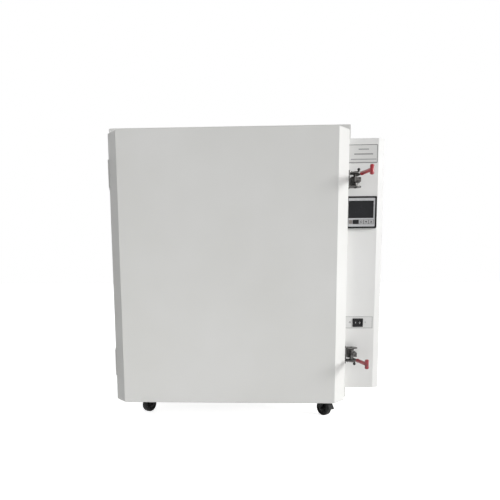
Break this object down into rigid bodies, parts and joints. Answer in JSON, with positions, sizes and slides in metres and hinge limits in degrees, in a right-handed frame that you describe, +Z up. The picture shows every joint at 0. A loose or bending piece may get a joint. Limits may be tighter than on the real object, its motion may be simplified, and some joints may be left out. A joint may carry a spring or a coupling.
{
  "type": "hot air circulating oven",
  "caption": "Floor-standing hot air circulating oven on casters, with a thick door, two toggle latches, shelves and a side control box.",
  "frame": {"origin": "on the floor, under the middle of the whole oven", "axes": "+X to the right for someone who faces the door, +Y from the door to the back, +Z up"},
  "size_m": [0.8214, 0.894, 0.945],
  "materials": {
    "body_paint": "satin powder coat, warm light grey",
    "grey_paint": "satin powder coat",
    "box_paint": "satin powder coat",
    "stainless": "brushed",
    "hardware_steel": "zinc plated, dull",
    "screw_zinc": "zinc plated",
    "shelf_chrome": "plated wire",
    "heater_sheath": "heat darkened",
    "mineral_wool": "pressed wool",
    "seal_rubber": "silicone",
    "motor_casting": "cast",
    "label_metal": "satin",
    "red_grip": "dipped vinyl",
    "black_steel": "black oxide",
    "black_plastic": "moulded",
    "silver_plastic": "silver painted",
    "display_glass": "dark window",
    "caster_steel": "black",
    "caster_tread": "hard wheel"
  },
  "bodies": {
    "cabinet": {"base_frame": "grey_paint", "cabinet_wrap": "body_paint", "rear_panel": "grey_paint", "front_frame": "body_paint", "chamber_liner": "stainless", "insulation_jacket": "mineral_wool", "chamber_seal": "seal_rubber", "shelf_rails": "stainless", "air_baffle": "stainless", "heater_elements": "heater_sheath", "temperature_probe": "heater_sheath", "exhaust_stack": "stainless", "motor_cover": "grey_paint", "fan_motor": "motor_casting", "shelf_upper": "shelf_chrome", "shelf_lower": "shelf_chrome", "control_casing": "box_paint", "nameplate": "label_metal", "controller_housing": "silver_plastic", "controller_display": "display_glass", "switch_plate": "label_metal", "rocker_housing": "black_plastic", "solid_state_relay": "black_plastic", "cable_gland": "black_plastic", "latch_keepers": "hardware_steel", "hinge_frame_leaves": "hardware_steel", "hinge_pins": "hardware_steel", "caster_mounts": "caster_steel", "cabinet_screws": "screw_zinc"},
    "door": {"door_shell": "body_paint", "door_inner_panel": "stainless", "door_insulation": "mineral_wool", "hinge_door_leaves": "hardware_steel", "latch_base_upper": "hardware_steel", "latch_base_lower": "hardware_steel", "door_screws": "screw_zinc"},
    "damper": {"vent_damper": "stainless"},
    "fan": {"fan_wheel": "stainless", "fan_shaft": "hardware_steel"},
    "rocker": {"rocker_paddle": "black_plastic"},
    "key_power_body": {"key_power": "black_plastic"},
    "key_set_body": {"key_set": "silver_plastic"},
    "key_down_body": {"key_down": "silver_plastic"},
    "key_up_body": {"key_up": "silver_plastic"},
    "lever_upper": {"latch_lever_upper": "hardware_steel", "latch_grip_upper": "red_grip"},
    "hook_upper": {"latch_hook_upper": "hardware_steel"},
    "trigger_upper": {"latch_trigger_upper": "black_steel"},
    "lever_lower": {"latch_lever_lower": "hardware_steel", "latch_grip_lower": "red_grip"},
    "hook_lower": {"latch_hook_lower": "hardware_steel"},
    "trigger_lower": {"latch_trigger_lower": "black_steel"},
    "swivel_left": {"caster_fork_front_left": "caster_steel"},
    "brake_left": {"caster_brake_front_left": "caster_steel"},
    "swivel_right": {"caster_fork_front_right": "caster_steel"},
    "brake_right": {"caster_brake_front_right": "caster_steel"},
    "wheel_front_left": {"caster_wheel_front_left": "caster_tread"},
    "wheel_front_right": {"caster_wheel_front_right": "caster_tread"},
    "wheel_rear_left": {"caster_wheel_rear_left": "caster_tread"},
    "wheel_rear_right": {"caster_wheel_rear_right": "caster_tread"}
  },
  "joints": [
    {"name": "door_hinge", "type": "hinge", "parent": "cabinet", "child": "door", "pos_m": [-0.4035, -0.3194, 0.466], "axis": [0, 0, -1], "range_deg": [0, 110]},
    {"name": "latch_lever_upper_turn", "type": "hinge", "parent": "door", "child": "lever_upper", "pos_m": [0.321, -0.344, 0.7215], "axis": [0, 0, 1], "range_deg": [0, 60]},
    {"name": "latch_hook_upper_turn", "type": "hinge", "parent": "lever_upper", "child": "hook_upper", "pos_m": [0.31926, -0.35385, 0.7215], "axis": [0, 0, 1], "range_deg": [-60, 0]},
    {"name": "latch_trigger_upper_turn", "type": "hinge", "parent": "door", "child": "trigger_upper", "pos_m": [0.309, -0.344, 0.7215], "axis": [0, 0, 1], "range_deg": [0, 25], "stiffness_Nm_per_rad": 0.05, "springref_deg": -17.19},
    {"name": "latch_lever_lower_turn", "type": "hinge", "parent": "door", "child": "lever_lower", "pos_m": [0.321, -0.344, 0.211], "axis": [0, 0, 1], "range_deg": [0, 60]},
    {"name": "latch_hook_lower_turn", "type": "hinge", "parent": "lever_lower", "child": "hook_lower", "pos_m": [0.31926, -0.35385, 0.211], "axis": [0, 0, 1], "range_deg": [-60, 0]},
    {"name": "latch_trigger_lower_turn", "type": "hinge", "parent": "door", "child": "trigger_lower", "pos_m": [0.309, -0.344, 0.211], "axis": [0, 0, 1], "range_deg": [0, 25], "stiffness_Nm_per_rad": 0.05, "springref_deg": -17.19},
    {"name": "damper_turn", "type": "hinge", "parent": "cabinet", "child": "damper", "pos_m": [-0.0485, -0.011, 0.899], "axis": [1, 0, 0], "range_deg": [0, 90]},
    {"name": "fan_spin", "type": "hinge", "parent": "cabinet", "child": "fan", "pos_m": [-0.0485, 0.133, 0.466], "axis": [0, 1, 0], "continuous": true},
    {"name": "key_power_press", "type": "slide", "parent": "cabinet", "child": "key_power_body", "axis": [0, 1, 0], "range_m": [0, 0.001], "stiffness_N_per_m": 300, "springref_m": -0.001},
    {"name": "key_set_press", "type": "slide", "parent": "cabinet", "child": "key_set_body", "axis": [0, 1, 0], "range_m": [0, 0.001], "stiffness_N_per_m": 300, "springref_m": -0.001},
    {"name": "key_down_press", "type": "slide", "parent": "cabinet", "child": "key_down_body", "axis": [0, 1, 0], "range_m": [0, 0.001], "stiffness_N_per_m": 300, "springref_m": -0.001},
    {"name": "key_up_press", "type": "slide", "parent": "cabinet", "child": "key_up_body", "axis": [0, 1, 0], "range_m": [0, 0.001], "stiffness_N_per_m": 300, "springref_m": -0.001},
    {"name": "rocker_tilt", "type": "hinge", "parent": "cabinet", "child": "rocker", "pos_m": [0.34235, -0.3103, 0.30345], "axis": [0, 0, 1], "range_deg": [0, 16]},
    {"name": "swivel_left_turn", "type": "hinge", "parent": "cabinet", "child": "swivel_left", "pos_m": [-0.3335, -0.2615, 0.064], "axis": [0, 0, 1], "continuous": true},
    {"name": "brake_left_lift", "type": "hinge", "parent": "swivel_left", "child": "brake_left", "pos_m": [-0.31599, -0.23236, 0.05], "axis": [0.8572, -0.515, 0], "range_deg": [0, 25]},
    {"name": "swivel_right_turn", "type": "hinge", "parent": "cabinet", "child": "swivel_right", "pos_m": [0.2365, -0.2615, 0.064], "axis": [0, 0, 1], "continuous": true},
    {"name": "brake_right_lift", "type": "hinge", "parent": "swivel_right", "child": "brake_right", "pos_m": [0.25836, -0.28755, 0.05], "axis": [-0.766, -0.6428, 0], "range_deg": [0, 25]},
    {"name": "wheel_front_left_spin", "type": "hinge", "parent": "swivel_left", "child": "wheel_front_left", "pos_m": [-0.32423, -0.24607, 0.025], "axis": [0.8572, -0.515, 0], "continuous": true},
    {"name": "wheel_front_right_spin", "type": "hinge", "parent": "swivel_right", "child": "wheel_front_right", "pos_m": [0.24807, -0.27529, 0.025], "axis": [-0.766, -0.6428, 0], "continuous": true},
    {"name": "wheel_rear_left_spin", "type": "hinge", "parent": "cabinet", "child": "wheel_rear_left", "pos_m": [-0.3335, 0.2935, 0.025], "axis": [1, 0, 0], "continuous": true},
    {"name": "wheel_rear_right_spin", "type": "hinge", "parent": "cabinet", "child": "wheel_rear_right", "pos_m": [0.2365, 0.2935, 0.025], "axis": [1, 0, 0], "continuous": true}
  ],
  "couplings": [
    {"joint": "latch_hook_upper_turn", "follows": "latch_lever_upper_turn", "ratio": -1},
    {"joint": "latch_hook_lower_turn", "follows": "latch_lever_lower_turn", "ratio": -1}
  ]
}
